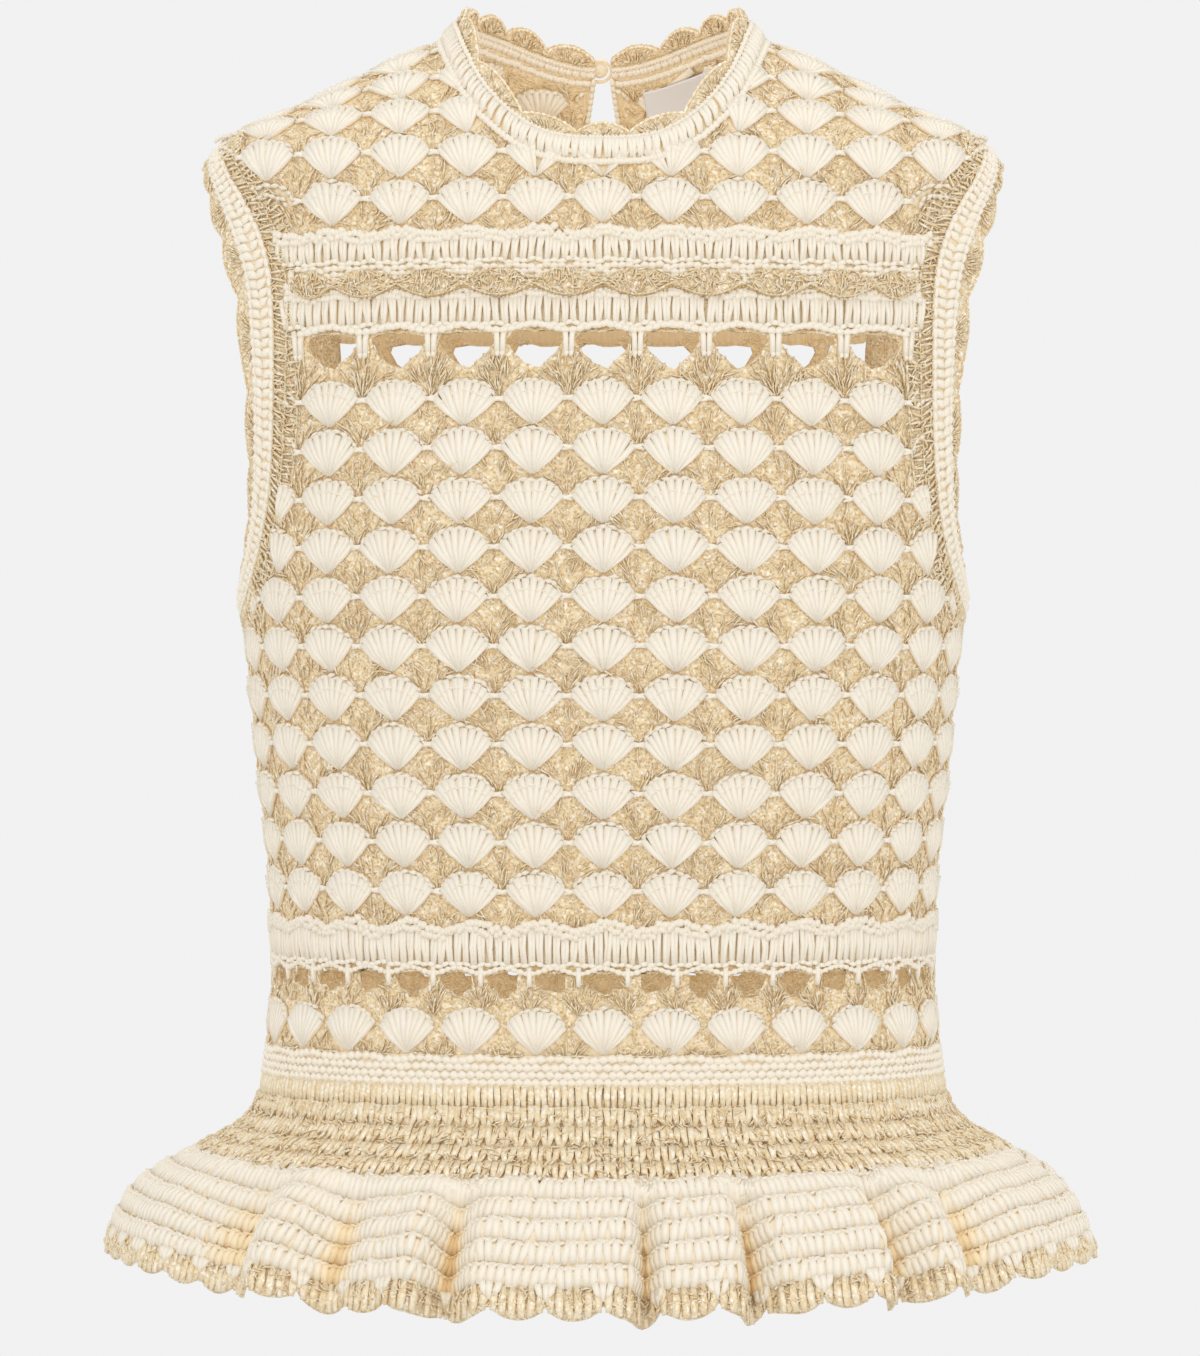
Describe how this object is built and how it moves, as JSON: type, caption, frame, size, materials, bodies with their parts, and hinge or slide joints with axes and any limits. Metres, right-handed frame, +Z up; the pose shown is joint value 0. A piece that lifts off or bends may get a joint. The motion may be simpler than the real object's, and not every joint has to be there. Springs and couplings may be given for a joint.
{
  "type": "crochet top",
  "caption": "Sleeveless fan-stitch crochet top in cream and gold yarn, with a scalloped high neck, scalloped armholes and a flared ruffled peplum.",
  "frame": {"origin": "midway between the two neck points of the shoulder seams, where the wearer's shoulders carry the top", "axes": "-Y is the front, +X is to the right of someone facing the front, +Z is up"},
  "size_m": [0.4245, 0.3263, 0.5502],
  "materials": {
    "cream_cotton": "matt twisted cotton yarn in crochet stitches",
    "gold_yarn": "beige yarn with a metallic gold thread, sparkling",
    "white_satin": "smooth white satin ribbon, bare"
  },
  "bodies": {
    "root": {"front_panel": "cream_cotton", "back_panel": "cream_cotton", "neckband": "cream_cotton", "neck_scallops": "gold_yarn", "armhole_gold_left": "gold_yarn", "armhole_gold_right": "gold_yarn", "armhole_cream_left": "cream_cotton", "armhole_cream_right": "cream_cotton", "armhole_scallops_left": "gold_yarn", "armhole_scallops_right": "gold_yarn", "chest_flap_front": "gold_yarn", "chest_flap_back": "gold_yarn", "waistband": "cream_cotton", "peplum_yoke": "gold_yarn", "ruffle": "cream_cotton", "hem_scallops": "gold_yarn", "neck_button": "cream_cotton", "button_loop": "cream_cotton", "blank_label": "white_satin"}
  },
  "joints": []
}
